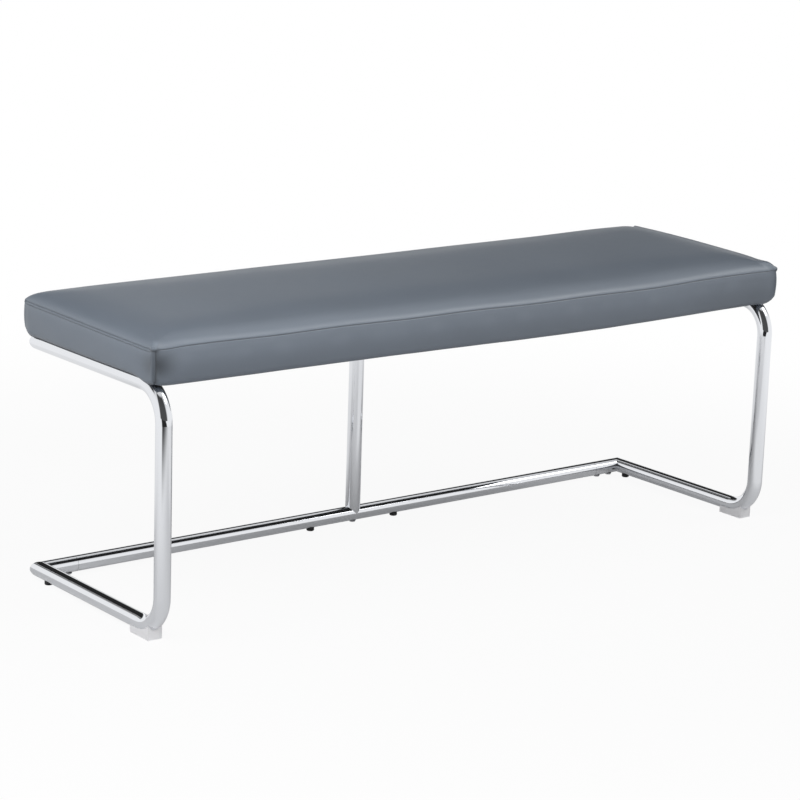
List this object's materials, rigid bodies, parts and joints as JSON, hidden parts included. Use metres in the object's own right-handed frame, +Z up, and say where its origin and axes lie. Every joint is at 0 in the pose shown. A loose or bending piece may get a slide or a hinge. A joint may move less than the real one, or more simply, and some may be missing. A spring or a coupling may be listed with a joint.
{
  "type": "dining bench",
  "caption": "Long upholstered dining bench: a crowned cushion on two C-shaped chromed tube side frames, tied by rear rails and a centre post, on clear and black feet.",
  "frame": {"origin": "floor point under the middle of the bench's bounding box", "axes": "+X along the bench to its right end, -Y to its front, +Z up"},
  "size_m": [1.2406, 0.395, 0.459],
  "materials": {
    "leather": "smooth grey leather, softly grained, satin",
    "foam": "cut foam",
    "board": "plywood, unfinished",
    "dust_cloth": "black non-woven cloth",
    "chrome": "bright chrome plate",
    "fastener": "zinc plated",
    "clear_plastic": "milky clear plastic",
    "black_rubber": "black, matt"
  },
  "bodies": {
    "root": {"seat_cover": "leather", "foam_pad": "foam", "seat_board": "board", "dust_cover": "dust_cloth", "cover_staples": "fastener", "seat_tee_nuts": "fastener", "seat_screws": "fastener", "left_side_tube": "chrome", "right_side_tube": "chrome", "left_lower_stub": "chrome", "left_upper_stub": "chrome", "right_lower_stub": "chrome", "right_upper_stub": "chrome", "lower_rear_rail": "chrome", "upper_rear_rail": "chrome", "left_lower_spigot": "fastener", "right_lower_spigot": "fastener", "left_upper_spigot": "fastener", "right_upper_spigot": "fastener", "lower_rail_bolts": "fastener", "upper_rail_bolts": "fastener", "centre_post": "chrome", "post_plug": "fastener", "post_bolt": "fastener", "left_front_foot": "clear_plastic", "right_front_foot": "clear_plastic", "left_side_foot": "black_rubber", "right_side_foot": "black_rubber", "left_rail_foot": "black_rubber", "right_rail_foot": "black_rubber"}
  },
  "joints": []
}
